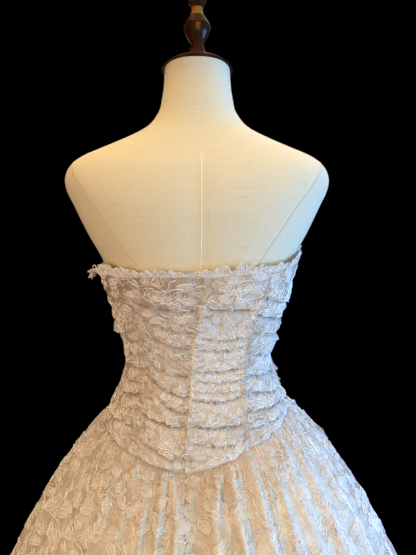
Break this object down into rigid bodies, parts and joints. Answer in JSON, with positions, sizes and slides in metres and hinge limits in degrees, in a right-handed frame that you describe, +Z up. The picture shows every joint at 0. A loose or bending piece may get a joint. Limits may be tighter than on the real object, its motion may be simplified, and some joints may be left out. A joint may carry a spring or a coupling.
{
  "type": "ball gown on dress form",
  "caption": "Strapless ball gown of ruched lace over satin, with a dropped pointed waist and a full gathered skirt, worn by a limbless linen dress form on a round wooden stand.",
  "frame": {"origin": "centre of the stand's base, on the floor", "axes": "+Z up; the wearer faces +Y, so the back of the gown faces -Y and the wearer's right is +X"},
  "size_m": [1.3226, 1.2312, 1.587],
  "materials": {
    "champagne_lace": "corded floral lace on a fine net, champagne, slightly lustrous cords",
    "peach_satin": "smooth peach lining satin with a soft sheen",
    "linen": "plain-woven natural linen stretched over the form",
    "dark_wood": "turned hardwood, dark mahogany stain under gloss varnish"
  },
  "bodies": {
    "root": {"bodice_foundation_back_left": "peach_satin", "bodice_foundation_back_right": "peach_satin", "bodice_foundation_front": "peach_satin", "bodice_foundation_side_back_left": "peach_satin", "bodice_foundation_side_back_right": "peach_satin", "bodice_foundation_side_front_left": "peach_satin", "bodice_foundation_side_front_right": "peach_satin", "bodice_lace_back_left": "champagne_lace", "bodice_lace_back_right": "champagne_lace", "bodice_lace_front": "champagne_lace", "bodice_lace_side_back_left": "champagne_lace", "bodice_lace_side_back_right": "champagne_lace", "bodice_lace_side_front_left": "champagne_lace", "bodice_lace_side_front_right": "champagne_lace", "form_base": "dark_wood", "form_bottom_plate": "dark_wood", "form_finial": "dark_wood", "form_neck_cap": "dark_wood", "form_pole": "dark_wood", "form_torso": "linen", "neckline_frill": "champagne_lace", "skirt_lace_back_left": "champagne_lace", "skirt_lace_back_right": "champagne_lace", "skirt_lace_front": "champagne_lace", "skirt_lining_back_left": "peach_satin", "skirt_lining_back_right": "peach_satin", "skirt_lining_front": "peach_satin"}
  },
  "joints": []
}
